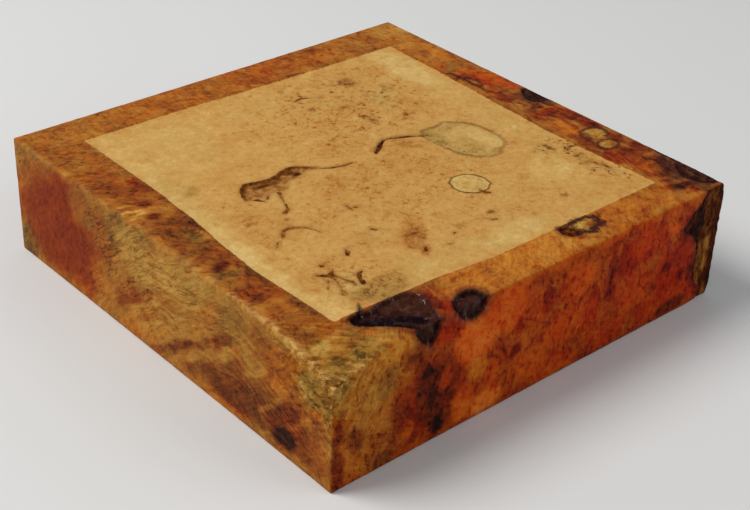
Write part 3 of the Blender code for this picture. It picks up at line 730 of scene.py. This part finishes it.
def paintSides(points, wobble, onTop):      # colour, figure and grain of the sealed wood
    names = ("sealTone", "sealHue", "eyes", "streaks", "grit", "along", "across", "sawn")
    made = {name: np.zeros(len(points)) for name in names}
    whole = np.zeros(len(points))
    uneven = np.clip(0.85 + 0.6 * noiseOf(points, 7, 2, 13.0), 0.35, 1)     # of the bands
    for face, colours in sealed.items():
        u, v, under = onFace(points, face)
        share = smooth(1 - under / 0.9)         # the sides blend over the arrises
        moved = onTop if face == "top" else wobble
        tone, hue = paintedOver(points, colours, face, moved)
        wobbleU, wobbleV, _ = onFace(moved, face)
        for bandFace, line, width, bandTone, bandHue, strength in bands.values():
            if bandFace == face:
                away = lineDistance(u + wobbleU * 0.35, v + wobbleV * 0.35, line) / width
                cover = strength / 100 * uneven * smooth((1.6 - away) / 1.2)
                tone += (bandTone / 100 - tone) * cover
                hue += (bandHue / 100 - hue) * cover
        eyes, streaky, gritty = (value / 100 for value in figure[face]["shares"])
        if face == "west":
            streaky = streaky * paintedOver(points, lined, face, moved)[0]
            gritty = gritty * paintedOver(points, grit, face, moved)[0]
        sawnU, sawnV = figure[face]["sawn"]
        values = (tone, hue, eyes, streaky, gritty, *grainOf(points, face),
                  v * sawnU - u * sawnV)
        for name, value in zip(names, values):
            made[name] += value * share
        whole += share
    for name in names:
        made[name] /= whole
    return made


def paintRings(points, onTop, made):        # lines round knots, and the colour of their hearts
    rim, rimShare = np.full(len(points), -8.0), np.zeros(len(points))
    for ring in rings.values():
        distance = ringDistance(points, ring)
        line, near = ring["line"], np.abs(distance) < 3
        if "faint" in ring:
            faintX, faintY, reach = ring["faint"]
            away = np.hypot(points[:, 0] - faintX, points[:, 1] - faintY)
            line = line * (1 - 0.8 * fade(away, reach))
        rim = np.where(near, distance / line, rim)
        rimShare = np.where(near, ring["strength"] / 100, rimShare)
        share = smooth((distance + 0.4) / 1.2)
        kind = "bare" if "bare" in ring else "seal"
        heartTone, heartHue = paintedOver(points, ring["heart"], "top", onTop * 0.6)
        made[kind + "Tone"] += (heartTone - made[kind + "Tone"]) * share * 0.9
        made[kind + "Hue"] += (heartHue - made[kind + "Hue"]) * share
    made.update(rimDistance=rim, rimShare=rimShare)


def paintBark(points, wobble, made):        # tone and wax of the pockets and tracks
    bark, barkTone = np.full(len(points), -8.0), np.full(len(points), 0.5)
    wet = np.zeros(len(points))
    for name, pocket in pockets.items():
        distance = pocketDistance(points, pocket)
        u, v, _ = onFace(points, pocket["face"])
        middleU, middleV = np.mean(pocket["outline"], axis=0)
        darkness, width = pocket["rim"]
        shiftU, shiftV = pocket.get("shadow", (0, 0))
        slopeU, slopeV = pocket.get("slope", (0, 0))
        # painted shade: the rim darkens the pocket's edge, thickest where the shadow moves it
        toShadow = insideBy(u + shiftU, v + shiftV, pocket["outline"])
        tone = (pocket["tone"] + slopeU * (u - middleU) + slopeV * (v - middleV)
                - darkness * smooth(1 - toShadow / width)) / 100
        for pocketName, line, wide, streakTone, strength in barkStreaks:
            if pocketName == name:
                away = lineDistance(u + wobble[:, 0] * 0.2, v + wobble[:, 1] * 0.2, line) / wide
                tone += (streakTone / 100 - tone) * strength / 100 * smooth(1.5 - away)
        barkTone = np.where(distance > bark, tone, barkTone)
        bark = np.maximum(bark, distance)
        wet = np.maximum(wet, waxed.get(name, 0) / 100 * smooth((distance + 3) / 2))
    for _, tone, line in tracks.values():
        distance = trackDistance(points, line)
        barkTone = np.where(distance > bark, tone / 100, barkTone)
        bark = np.maximum(bark, distance)
    made.update(barkDistance=bark, barkTone=barkTone, wet=wet)


def paint(points):          # what the material reads at each vertex
    wobble = np.array([
        noise.noise_vector(Vector(p) / 17) * 5 + noise.noise_vector(Vector(p) / 6) * 1.8
        for p in points
    ])
    onTop = wobble * [1, 1, -1] + [0, 0, blank["height"]]
    made = paintSides(points, wobble, onTop)
    made["bareTone"], made["bareHue"] = paintedOver(points, bareWood, "top", onTop * 0.6)
    paintRings(points, onTop, made)
    paintBark(points, wobble, made)
    made["busy"] = paintedOver(points, busy, "top", onTop)[0]
    made["crumbs"] = paintedOver(points, crumbled, "top", onTop)[0]
    made["bareDistance"] = bareDistance(points)

    # Growth layers, as shells round a point outside the block
    x, y, z = points.T
    layer = np.sqrt(((x + 150) * 0.6) ** 2 + ((y + 45) / 1.3) ** 2 + (z + 25) ** 2)
    made["layer"] = layer + noiseOf(points, 26, 2, 3.0) * 5 + noiseOf(points, 8, 2, 7.0) * 1.2

    # Where the edges get a painted highlight, partly pale wood where the finish is worn off, and
    # the torn corner
    half = blank["side"] / 2
    away, fromArris = cornerDistance(points, "torn"), arrisDistance(points)
    made["worn"] = fade(fromArris, 3.6) * fade(blank["height"] - z, 8) * np.maximum(
        fade(away, 26), fade(x + half, 4) * (0.2 + 0.8 * fade(y + half, 110)))
    made["edge"] = fade(fromArris, 1.5)
    made["torn"] = fade(away, 58) * smooth((z - 8) / 30)
    return made


def carved(points, normals):        # sink pockets, folds and nicks under the surface
    z = points[:, 2]
    sunk = bareSquare["depth"] * smooth((bareDistance(points) + 0.3) / 0.8)
    for pocket in pockets.values():
        distance = pocketDistance(points, pocket)
        inside = distance > -0.8
        spots = points[inside]
        edge = distance[inside] + noiseOf(spots, 2.6, 3, 11.0) * 0.3
        floor = noiseOf(spots, 3.2, 4, 5.0) * pocket["rough"]
        deep = (pocket["depth"] + floor) * smooth(edge / pocket["wall"] + 0.1)
        deep *= 0.15 + 0.85 * smooth((blank["side"] / 2 - spots[:, 0]) / 7)
        sunk[inside] = np.maximum(sunk[inside], deep)
    for depth, _, line in tracks.values():
        distance = trackDistance(points, line)
        sunk = np.maximum(sunk, bareSquare["depth"] * (distance > -1)
                          + depth * smooth((distance + 0.5) / 1.1))

    # Folds that step down over the torn corner
    away, reach = cornerDistance(points, "torn"), blank["foldReach"]
    torn = (away < reach) & (z > 30)
    spots = points[torn]
    along, across = (spots[:, 0] - spots[:, 1]) / 9, (spots[:, 0] + spots[:, 1]) / 3
    stretched = np.stack([along, across, spots[:, 2] / 5], axis=1)
    ridges = np.array([abs(noise.fractal(Vector(p), 0.8, 2.0, 3)) for p in stretched])
    sunk[torn] += blank["fold"] * smooth(1 - 2.4 * ridges) * fade(away[torn], reach)

    # Nicks along the arrises, and crumbled wood at the waney corner
    edge, reach = arrisDistance(points), blank["chipReach"]
    near = edge < reach
    nick = np.maximum(0, noiseOf(points[near], 5.0, 3, 21.0) - 0.05)
    rougher = fade(away[near], 90) * (z[near] > 20)
    sunk[near] += blank["chip"] * nick * fade(edge[near], reach) * (0.35 + 1.3 * rougher)
    away, reach = cornerDistance(points, "waney"), blank["crumbleReach"]
    waney = away < reach
    loose = np.abs(noiseOf(points[waney], 6.0, 3, 37.0))
    sunk[waney] += blank["crumble"] * loose * fade(away[waney], reach)
    return warped(points) - normals * sunk[:, None]


def feed(socket, value):        # link a socket, or give it a plain value
    if isinstance(value, bpy.types.NodeSocket):
        socket.id_data.links.new(value, socket)
    else:
        socket.default_value = value


def put(tree, kind, inputs=(), **settings):
    made = tree.nodes.new(kind)
    for name, value in settings.items():
        setattr(made, name, value)
    for key, value in dict(inputs).items():
        feed(made.inputs[key], value)
    return made


def treeOf(values):         # the node tree that the sockets among the values are in
    return next(value.id_data for value in values if isinstance(value, bpy.types.NodeSocket))


def calc(operation, *values, clamp=False):
    return put(treeOf(values), "ShaderNodeMath", enumerate(values), operation=operation,
               use_clamp=clamp).outputs[0]


def total(first, *others):
    for value in others:
        first = calc("ADD", first, value)
    return first


def times(first, *others):
    for value in others:
        first = calc("MULTIPLY", first, value)
    return first


def scaled(value, factor, offset):      # value * factor + offset
    return calc("MULTIPLY_ADD", value, factor, offset)


def centred(value, strength):       # a 0 to 1 pattern as a swing about 0
    return scaled(value, strength, -0.5 * strength)


def stepped(value, low, high):      # 0 under low, 1 over high, smooth between
    return put(value.id_data, "ShaderNodeMapRange", {
        "Value": value, "From Min": low, "From Max": high,
    }, interpolation_type="SMOOTHSTEP").outputs[0]


def joined(*values):        # a vector from three values
    return put(treeOf(values), "ShaderNodeCombineXYZ", enumerate(values)).outputs[0]


def vectorMath(operation, *values):
    return put(treeOf(values), "ShaderNodeVectorMath", enumerate(values),
               operation=operation).outputs[0]


def grainNoise(position, size, detail=3.0, roughness=0.55, distortion=0.0):
    return put(position.id_data, "ShaderNodeTexNoise", {
        "Vector": position, "Scale": 1 / size, "Detail": detail, "Roughness": roughness,
        "Distortion": distortion,
    }).outputs["Fac"]


def mixed(share, first, second):        # colours
    return put(share.id_data, "ShaderNodeMix", {0: share, 6: first, 7: second},
               data_type="RGBA").outputs[2]


def between(share, first, second):      # plain values
    return put(share.id_data, "ShaderNodeMix", {0: share, 2: first, 3: second}).outputs[0]


def linear(red, green, blue):       # 0 to 255, as read off a screen
    return tuple(
        ((c / 255 + 0.055) / 1.055) ** 2.4 if c > 10 else c / 255 / 12.92
        for c in (red, green, blue)
    ) + (1.0,)


def ramp(value, pigment):
    made = put(value.id_data, "ShaderNodeValToRGB", {"Fac": value})
    made.color_ramp.interpolation = "LINEAR"
    elements, stops = made.color_ramp.elements, pigments[pigment]
    while len(elements) < len(stops):
        elements.new(0.5)
    for element, (tone, _) in zip(elements, stops):
        element.position = tone / 100
    for element, (tone, colour) in zip(elements, stops):
        element.position, element.color = tone / 100, linear(*colour)
    return made.outputs["Color"]


def newMask(name, *values):         # a group that makes a mask from a position and values
    tree = bpy.data.node_groups.new(name, "ShaderNodeTree")
    tree.interface.new_socket("Position", in_out="INPUT", socket_type="NodeSocketVector")
    for label in values:
        tree.interface.new_socket(label, in_out="INPUT", socket_type="NodeSocketFloat")
    tree.interface.new_socket("Mask", in_out="OUTPUT", socket_type="NodeSocketFloat")
    return tree, put(tree, "NodeGroupInput").outputs, put(tree, "NodeGroupOutput").inputs[0]


def masked(group, **inputs):
    return put(inputs["Position"].id_data, "ShaderNodeGroup", inputs, node_tree=group).outputs[0]


def raggedEdgeGroup():      # a crisp mask with a worn outline, from a distance in millimetres
    tree, given, mask = newMask("raggedEdge", "Distance", "Ragged", "Soft")
    sway = calc("SUBTRACT", grainNoise(given["Position"], 1.8), 0.5)
    moved = scaled(sway, given["Ragged"], given["Distance"])
    feed(mask, stepped(moved, times(given["Soft"], -1), given["Soft"]))
    return tree


def burlEyesGroup():        # scattered eyes of different sizes, darker than the wood round them
    tree, given, mask = newMask("burlEyes", "Spacing", "Size", "Share")
    sway = put(tree, "ShaderNodeTexNoise", {
        "Vector": given["Position"], "Scale": 0.5, "Detail": 2.0}).outputs["Color"]
    cells = put(tree, "ShaderNodeTexVoronoi", {
        "Vector": vectorMath("MULTIPLY_ADD", sway, (1.3, 1.3, 1.3), given["Position"]),
        "Scale": calc("DIVIDE", 1, given["Spacing"])})
    colour = put(tree, "ShaderNodeSeparateColor", {"Color": cells.outputs["Color"]}).outputs
    reach = times(given["Size"], scaled(colour[0], 0.9, 0.35))
    spot = stepped(cells.outputs["Distance"], reach, times(reach, 0.35))
    feed(mask, times(spot, calc("LESS_THAN", colour[1], given["Share"])))
    return tree


# Colours of the wood by tone, and of single marks, as they look on a screen
pigments = {
    "rust": [
        (0, (214, 158, 74)), (18, (204, 132, 40)), (36, (184, 98, 20)), (54, (150, 63, 15)),
        (70, (114, 37, 12)), (85, (70, 22, 9)), (100, (30, 13, 8)),
    ],
    "olive": [
        (0, (210, 172, 94)), (25, (186, 142, 66)), (45, (156, 112, 44)), (65, (110, 76, 30)),
        (85, (60, 41, 20)), (100, (30, 22, 13)),
    ],
    "crimson": [
        (0, (222, 98, 22)), (30, (198, 56, 5)), (54, (162, 29, 3)), (75, (114, 15, 4)),
        (88, (64, 10, 5)), (100, (28, 8, 6)),
    ],
    "bare": [
        (0, (218, 184, 118)), (25, (201, 156, 86)), (50, (187, 133, 66)), (70, (162, 102, 44)),
        (85, (116, 66, 27)), (100, (66, 36, 16)),
    ],
    "bareOlive": [
        (0, (210, 182, 116)), (30, (186, 152, 86)), (50, (164, 132, 68)), (70, (132, 102, 48)),
        (85, (96, 70, 34)), (100, (56, 42, 24)),
    ],
    "bark": [
        (0, (34, 9, 3)), (30, (76, 30, 6)), (50, (112, 60, 14)), (70, (142, 88, 30)),
        (85, (166, 110, 48)), (100, (188, 134, 70)),
    ],
    "wax": [
        (0, (8, 3, 7)), (30, (32, 12, 13)), (60, (66, 33, 22)), (100, (112, 74, 38)),
    ],
}

marks = {
    "sealedRing": (62, 28, 18),
    "bareRing": (92, 60, 24),
    "sealedStain": (84, 28, 18),
    "bareStain": (136, 90, 46),
    # the pale edge: painted highlight, partly pale wood where the finish is worn off
    "wornEdge": (226, 182, 104),
}
finish = {
    "sealedRoughness": 0.46,
    "bareRoughness": 0.7,
    "barkRoughness": 0.5,
    "specular": 0.03,
    "coatWeight": 0.4,
    "coatRoughness": 0.2,
}


def newMaterial(name):
    material = bpy.data.materials.new(name)
    material.use_nodes = True
    return material, material.node_tree.nodes["Principled BSDF"]


def burlMaterial():
    material, shader = newMaterial("sealedBurl")
    tree = material.node_tree
    ragged, eyesOf = raggedEdgeGroup(), burlEyesGroup()
    ink = {name: linear(*colour) for name, colour in marks.items()}

    def read(name):         # a value that paint gave each vertex
        return put(tree, "ShaderNodeAttribute", attribute_name=name).outputs["Fac"]

    metres = put(tree, "ShaderNodeTexCoord").outputs["Object"]
    position = put(tree, "ShaderNodeVectorMath", {0: metres, 3: 1 / mm},
                   operation="SCALE").outputs[0]
    x, y, z = put(tree, "ShaderNodeSeparateXYZ", {0: position}).outputs
    eyes, streaks, gritty, torn = read("eyes"), read("streaks"), read("grit"), read("torn")

    # Patterns of all the wood: cloudy ones, then spots, then lines
    mottle = grainNoise(position, 10, 3, 0.6, 0.4)
    fine = grainNoise(position, 2.6, 3, 0.6)
    dust = grainNoise(position, 0.7, 2, 0.6)
    lean = grainNoise(position, 7.5, 2, 0.5)
    curl = scaled(calc("SINE", times(grainNoise(position, 12, 2, 0.45, 0.5), 34)), 0.5, 0.5)

    slanted = vectorMath("MULTIPLY", position, (1, 1, 0.62))
    blotch = stepped(grainNoise(slanted, 2.2, 3, 0.55, 0.4), 0.54, 0.66)
    blot = stepped(grainNoise(slanted, 5.5, 3, 0.6, 0.5), 0.52, 0.66)
    tall = vectorMath("MULTIPLY", position, (1, 1, 0.6))
    largeEyes = masked(eyesOf, Position=tall, Spacing=5.0, Size=0.34, Share=0.5)
    smallEyes = masked(eyesOf, Position=tall, Spacing=2.3, Size=0.4, Share=0.5)

    growth = grainNoise(joined(times(read("layer"), 0.3), times(y, 0.03),
                               times(total(x, z), 0.03)), 1, 3, 0.6)
    vein = stepped(calc("ABSOLUTE", calc("SUBTRACT", growth, 0.5)), 0.035, 0.0)
    fibres = joined(times(read("along"), 0.11),
                    scaled(mottle, 1.6, times(read("across"), 0.72)), 0.0)
    streak = grainNoise(fibres, 1, 3, 0.6, 0.15)
    sawMark = grainNoise(joined(scaled(mottle, 1.2, times(read("sawn"), 0.5)),
                                times(z, 0.05), times(mottle, 2.5)), 1, 1, 0.5)
    sawLine = stepped(sawMark, 0.36, 0.62)
    stroke = grainNoise(joined(times(calc("SUBTRACT", x, y), 0.09), times(total(x, y), 0.33),
                               times(z, 0.26)), 1, 4, 0.6, 0.4)

    # Sealed wood
    plain = times(scaled(streaks, -0.75, 1), gritty)
    tone = total(
        read("sealTone"), times(centred(mottle, 0.42), gritty),
        times(centred(fine, 0.32), plain), times(centred(dust, 0.16), plain),
        centred(curl, 0.05), times(blotch, scaled(eyes, 0.14, 0.03)),
        times(blot, scaled(eyes, 0.12, 0.03)), -0.045, times(centred(growth, 0.4), streaks),
        times(centred(streak, 0.5), streaks), times(vein, 0.17, streaks),
        times(centred(sawLine, 0.05), streaks, stepped(lean, 0.3, 0.6)),
        times(largeEyes, 0.1, eyes), times(smallEyes, 0.06, eyes),
        times(centred(stroke, 0.9), torn),
    )
    hue = total(read("sealHue"), times(centred(lean, 0.9), gritty), times(blotch, 0.12, eyes))
    sealedColour = mixed(calc("MULTIPLY", hue, -1, clamp=True), ramp(tone, "rust"),
                         ramp(tone, "olive"))
    sealedColour = mixed(calc("MULTIPLY", hue, 0.8, clamp=True), sealedColour,
                         ramp(tone, "crimson"))

    # Bare wood
    crowd, crumbs = read("busy"), read("crumbs")
    speck = masked(eyesOf, Position=tall, Spacing=4.4, Size=0.3, Share=0.36)
    smear = stepped(streak, 0.52, 0.72)
    crumb = stepped(grainNoise(position, 1.9, 3, 0.6, 0.6), 0.56, 0.64)
    tone = total(
        read("bareTone"), centred(mottle, 0.46), centred(fine, 0.38), centred(curl, 0.05),
        centred(dust, 0.32), times(crowd, blotch, 0.24), times(crowd, smear, 0.13),
        times(crowd, blot, 0.14), times(crowd, speck, 0.34), -0.055,
        times(crumbs, crumb, 0.5),
    )
    hue = total(read("bareHue"), centred(lean, 0.8))
    bareColour = mixed(calc("MULTIPLY", hue, -1, clamp=True), ramp(tone, "bare"),
                       ramp(tone, "bareOlive"))

    # Rings: a thin broken line round a knot
    rim, rimShare = read("rimDistance"), read("rimShare")
    wavy = calc("ABSOLUTE", total(rim, centred(fine, 1.6)))
    rough = calc("ABSOLUTE", total(rim, centred(fine, 3.6)))
    broken = scaled(stepped(mottle, 0.3, 0.6), 0.5, 0.5)
    sealedColour = mixed(times(stepped(rough, 1.4, 0.1), rimShare), sealedColour,
                         ink["sealedRing"])
    bareColour = mixed(times(stepped(wavy, 1.0, 0.25), rimShare, broken), bareColour,
                       ink["bareRing"])

    # Stain round the bark
    barkDistance = read("barkDistance")
    halo = total(barkDistance, centred(mottle, 4))
    bareColour = mixed(times(stepped(barkDistance, -2.2, 0.2), 0.35), bareColour,
                       ink["bareStain"])
    sealedColour = mixed(times(stepped(halo, -3.6, 0.4), 0.5), sealedColour, ink["sealedStain"])

    # Bark, and the wax that fills the open knots
    wet = read("wet")
    dry = scaled(wet, -0.6, 1)
    flakes = grainNoise(vectorMath("MULTIPLY", position, (1, 1, 0.4)), 2.6, 4, 0.6, 0.4)
    tone = total(read("barkTone"), centred(dust, 0.14),
                 times(dry, centred(stepped(flakes, 0.34, 0.66), 0.38)))
    barkColour = mixed(wet, ramp(tone, "bark"), ramp(tone, "wax"))

    # What lies where
    bareMask = masked(ragged, Position=position, Distance=read("bareDistance"), Ragged=1.1,
                      Soft=0.22)
    barkMask = masked(ragged, Position=position, Distance=barkDistance, Ragged=1.5,
                      Soft=scaled(wet, 0.7, 0.22))
    # painted highlight along the edges and torn ridges, partly pale wood where the finish is worn
    # off
    worn = times(read("worn"), stepped(stroke, 0.62, 0.4), 0.7)
    sealedColour = mixed(worn, sealedColour, ink["wornEdge"])
    colour = mixed(barkMask, mixed(bareMask, sealedColour, bareColour), barkColour)
    dull = between(bareMask, finish["sealedRoughness"], finish["bareRoughness"])
    dull = between(barkMask, dull, finish["barkRoughness"])
    coat = times(wet, stepped(flakes, 0.5, 0.62), finish["coatWeight"])

    # Relief in millimetres: fibres, saw marks, eyes and flakes of bark
    height = total(
        centred(fine, 0.34), centred(dust, 0.1),
        times(centred(sawMark, 0.35), calc("SUBTRACT", 1, bareMask), 0.35),
        times(centred(streak, 0.3), streaks), times(centred(stroke, 2), torn),
        times(centred(flakes, 1), barkMask, dry), times(crumb, crumbs, -0.5),
    )
    height = times(height, scaled(bareMask, -0.65, 1), scaled(read("edge"), -0.85, 1))
    bump = put(tree, "ShaderNodeBump", {"Strength": 1.0, "Distance": mm, "Height": height})

    for name, value in {
        "Base Color": colour, "Roughness": total(dull, centred(fine, 0.22)),
        "Coat Weight": coat, "Coat Roughness": finish["coatRoughness"],
        "Specular IOR Level": finish["specular"], "Normal": bump.outputs[0],
    }.items():
        feed(shader.inputs[name], value)
    return material


def addObject(name, data):
    made = bpy.data.objects.new(name, data)
    bpy.context.collection.objects.link(made)
    return made


def burlBlank():
    mesh = sawnBlock()
    data = bpy.data.meshes.new("burlBlank")
    points = coordinates(mesh)
    print("cells", len(points), "corners,", len(mesh.faces), "triangles")
    for vert, moved in zip(mesh.verts, warped(points)):
        vert.co = moved
    mesh.normal_update()
    normals = np.array([vert.normal for vert in mesh.verts])
    finished = np.clip(carved(points, normals) * mm, cadBox[0], cadBox[1])
    mesh.to_mesh(data)
    mesh.free()
    data.vertices.foreach_set("co", finished.ravel())
    for name, values in paint(points).items():
        layer = data.attributes.new(name, "FLOAT", "POINT")
        layer.data.foreach_set("value", values.astype(np.float32))
    data.shade_smooth()
    data.update()
    data.materials.append(burlMaterial())
    return addObject("burlBlank", data)


block = burlBlank()
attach(block, "root")
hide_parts("burl_block")
print("block made")

# A pale floor, soft light from the far left and a camera at the photograph's angle. These
# lengths are in metres.
studio = {
    "floorSize": 12.0,
    "floorColour": (216, 214, 210),
    "floorRoughness": 0.8,
    "worldColour": (224, 230, 238),
    "worldStrength": 0.42,
    "lamps": {          # place, size, watts
        "keyLamp": ((-0.9, 0.7, 1.5), 1.1, 28),
        "fillLamp": ((0.9, -1.3, 1.0), 1.4, 7),
    },
    "cameraPlace": (-0.35729, -0.39858, 0.33592),
    "cameraTurn": (47.5906, 31.5175, -2.4261),      # azimuth, elevation and roll in degrees
    "cameraNear": 0.01,
    "lens": 72.45,          # this and the sensor in millimetres
    "sensor": 36,
}


def buildStudio():
    mesh = bmesh.new()
    bmesh.ops.create_grid(mesh, x_segments=1, y_segments=1, size=studio["floorSize"] / 2)
    data = bpy.data.meshes.new("floor")
    mesh.to_mesh(data)
    mesh.free()
    material, shader = newMaterial("paleFloor")
    shader.inputs["Base Color"].default_value = linear(*studio["floorColour"])
    shader.inputs["Roughness"].default_value = studio["floorRoughness"]
    data.materials.append(material)
    floor = addObject("floor", data)

    world = bpy.data.worlds.new("studio")
    world.use_nodes = True
    sky = world.node_tree.nodes["Background"]
    sky.inputs["Color"].default_value = linear(*studio["worldColour"])
    sky.inputs["Strength"].default_value = studio["worldStrength"]
    bpy.context.scene.world = world

    for name, (where, size, watts) in studio["lamps"].items():
        lamp = bpy.data.lights.new(name, "AREA")
        lamp.shape, lamp.size, lamp.energy = "DISK", size, watts
        holder = addObject(name, lamp)
        holder.location = where
        holder.rotation_euler = (-Vector(where)).to_track_quat("-Z", "Y").to_euler()

    lens = bpy.data.cameras.new("camera")
    lens.lens, lens.clip_start = studio["lens"], studio["cameraNear"]
    lens.sensor_width, lens.sensor_fit = studio["sensor"], "HORIZONTAL"
    camera = addObject("camera", lens)
    azimuth, elevation, roll = (math.radians(a) for a in studio["cameraTurn"])
    turn = (Matrix.Rotation(azimuth - math.pi / 2, 4, "Z")
            @ Matrix.Rotation(math.pi / 2 - elevation, 4, "X") @ Matrix.Rotation(-roll, 4, "Z"))
    camera.matrix_world = Matrix.Translation(studio["cameraPlace"]) @ turn
    bpy.context.scene.camera = camera
    bpy.context.scene.view_settings.view_transform = "Standard"


buildStudio()
print("studio lit")
